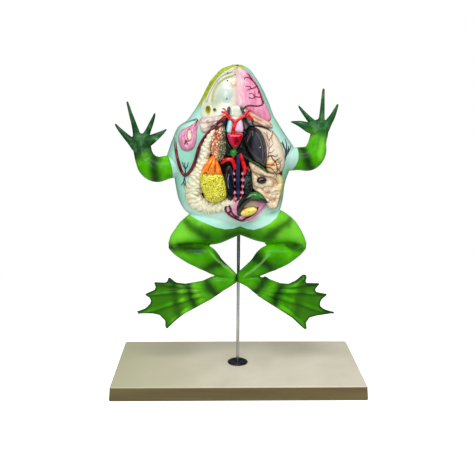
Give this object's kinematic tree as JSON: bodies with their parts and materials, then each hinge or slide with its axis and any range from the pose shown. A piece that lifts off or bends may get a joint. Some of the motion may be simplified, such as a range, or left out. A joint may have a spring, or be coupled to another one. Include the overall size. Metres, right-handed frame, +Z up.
{
  "type": "frog anatomy dissection model",
  "caption": "Enlarged dissected frog model standing upright on a rod over a beige rectangular base, belly opened to show the organs.",
  "frame": {"origin": "centre of the base's underside, on the surface it stands on", "axes": "+Z up, -Y towards the viewer (the opened belly faces -Y), +X to the frog's left, which is the picture's right"},
  "size_m": [0.366, 0.181, 0.461],
  "materials": {
    "base_plastic": "moulded, semi-matt beige",
    "black_plastic": "moulded, satin black",
    "bright_steel": "bright drawn",
    "socket_metal": "turned, plain",
    "green_skin": "painted green with dark bands, glossy",
    "pale_skin": "pale aqua green, glossy",
    "dark_hand": "dark green, glossy",
    "eye_gloss": "clear-coated gold and black",
    "jaw_yellow_green": "yellow-green, glossy",
    "palate_cream": "cream with pale green, glossy",
    "muscle_pink": "pink with dark red lines, glossy",
    "muscle_tan": "pink and tan, glossy",
    "blood_red": "bright red, glossy",
    "heart_red": "pink red, glossy",
    "atrium_blue": "pale cyan, glossy",
    "atrium_pink": "pale pink, glossy",
    "vein_dark": "dark blue, glossy",
    "vein_maroon": "dark red, glossy",
    "liver_dark": "near black, high gloss",
    "gall_green": "leaf green, glossy",
    "duct_green": "grey green, glossy",
    "lung_tan": "cream with an orange and green net, glossy",
    "fat_orange": "orange, glossy",
    "ovary_yellow": "yellow with dark grains, glossy",
    "oviduct_cream": "cream, glossy",
    "gut_cream": "cream with fine dark red lines, glossy",
    "pancreas_tan": "yellow tan, glossy",
    "kidney_dark": "near black, high gloss",
    "spleen_dark": "dark maroon, high gloss",
    "rectum_green": "dark green, high gloss",
    "bladder_yellow": "yellow, glossy",
    "nerve_pink": "pink and white, glossy"
  },
  "bodies": {
    "stand": {"base_shell": "base_plastic", "rod_bush": "black_plastic", "bush_nut": "black_plastic"},
    "rod": {"support_rod": "bright_steel"},
    "frog": {"back_shell": "green_skin", "rod_socket": "socket_metal", "belly_tray": "pale_skin", "left_eye": "eye_gloss", "right_eye": "eye_gloss", "left_arm": "green_skin", "right_arm": "green_skin", "left_hand": "dark_hand", "right_hand": "dark_hand", "left_thigh": "green_skin", "right_thigh": "green_skin", "left_shank": "green_skin", "right_shank": "green_skin", "left_foot": "green_skin", "right_foot": "green_skin", "gall_bladder": "gall_green", "right_aortic_arch": "blood_red", "left_aortic_arch": "blood_red", "right_vena_cava": "vein_dark", "left_vena_cava": "vein_dark", "urinary_bladder": "bladder_yellow", "rectum": "rectum_green", "spleen": "spleen_dark", "fat_body": "fat_orange", "postcaval_vein": "vein_dark", "right_nerve_chain": "nerve_pink", "left_nerve_chain": "nerve_pink", "right_dorsal_aorta": "blood_red", "left_dorsal_aorta": "blood_red", "right_kidney": "kidney_dark", "left_kidney": "kidney_dark", "ovary": "ovary_yellow", "pancreas": "pancreas_tan", "bile_duct": "duct_green", "cutaneous_vein": "vein_maroon", "stomach": "gut_cream", "lung": "lung_tan", "liver_middle_lobe": "liver_dark", "small_intestine": "gut_cream", "oviduct": "oviduct_cream", "pelvic_vein": "vein_maroon", "cloaca": "muscle_pink", "pectoral_muscle": "muscle_pink", "right_shoulder_muscle": "muscle_tan", "left_shoulder_muscle": "muscle_tan", "throat_muscle": "muscle_pink", "eye_bulge": "palate_cream", "palate": "palate_cream", "jaw_rim": "jaw_yellow_green"},
    "heart": {"ventricle": "heart_red", "arterial_trunk": "blood_red", "right_atrium": "atrium_blue", "left_atrium": "atrium_pink"},
    "liver_lobe": {"liver_left_lobe": "liver_dark"}
  },
  "joints": [
    {"name": "stand_swivel", "type": "hinge", "parent": "stand", "child": "rod", "pos_m": [0, 0, 0.02], "axis": [0, 0, 1], "continuous": true},
    {"name": "frog_lift", "type": "slide", "parent": "rod", "child": "frog", "axis": [0, 0, 1], "range_m": [0, 0.055]},
    {"name": "heart_lift", "type": "slide", "parent": "frog", "child": "heart", "axis": [0, -1, 0], "range_m": [0, 0.05]},
    {"name": "liver_lobe_lift", "type": "slide", "parent": "frog", "child": "liver_lobe", "axis": [0, -1, 0], "range_m": [0, 0.05]}
  ]
}
